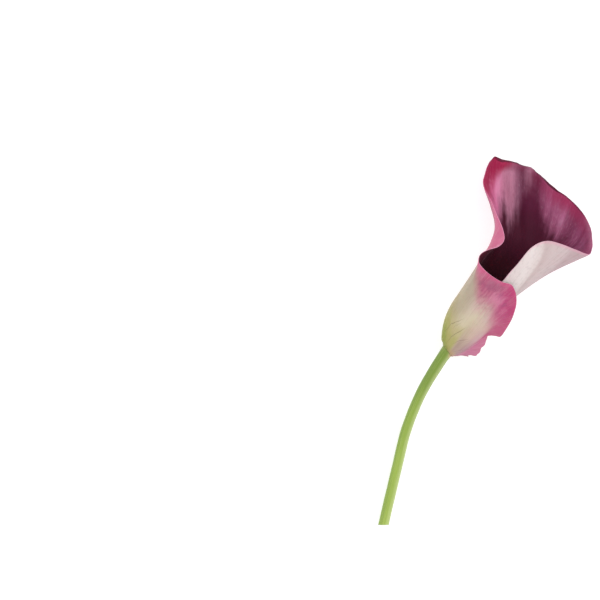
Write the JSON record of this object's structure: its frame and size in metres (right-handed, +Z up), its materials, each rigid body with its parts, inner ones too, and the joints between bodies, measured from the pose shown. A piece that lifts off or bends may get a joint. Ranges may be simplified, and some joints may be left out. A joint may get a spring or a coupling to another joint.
{
  "type": "calla lily flower",
  "caption": "Cut calla lily flower lying on its back: a wine-purple and green spathe wrapped round a golden spadix, on a curved green stem",
  "frame": {"origin": "the middle of the underside of the box round the whole flower, on the surface that it lies on", "axes": "+Y runs from the stem's cut end towards the bloom's mouth, +X to the flower's right as seen from above, and +Z up from the surface"},
  "size_m": [0.1244, 0.2134, 0.0343],
  "materials": {
    "spathe": "satin: velvety wine purple inside, pale pink to olive green outside",
    "stem": "satin, smooth and fleshy, fresh green",
    "spadix": "matte, dusty golden yellow, greenish at the foot"
  },
  "bodies": {
    "root": {"stem": "stem", "spathe": "spathe", "spadix": "spadix"}
  },
  "joints": []
}
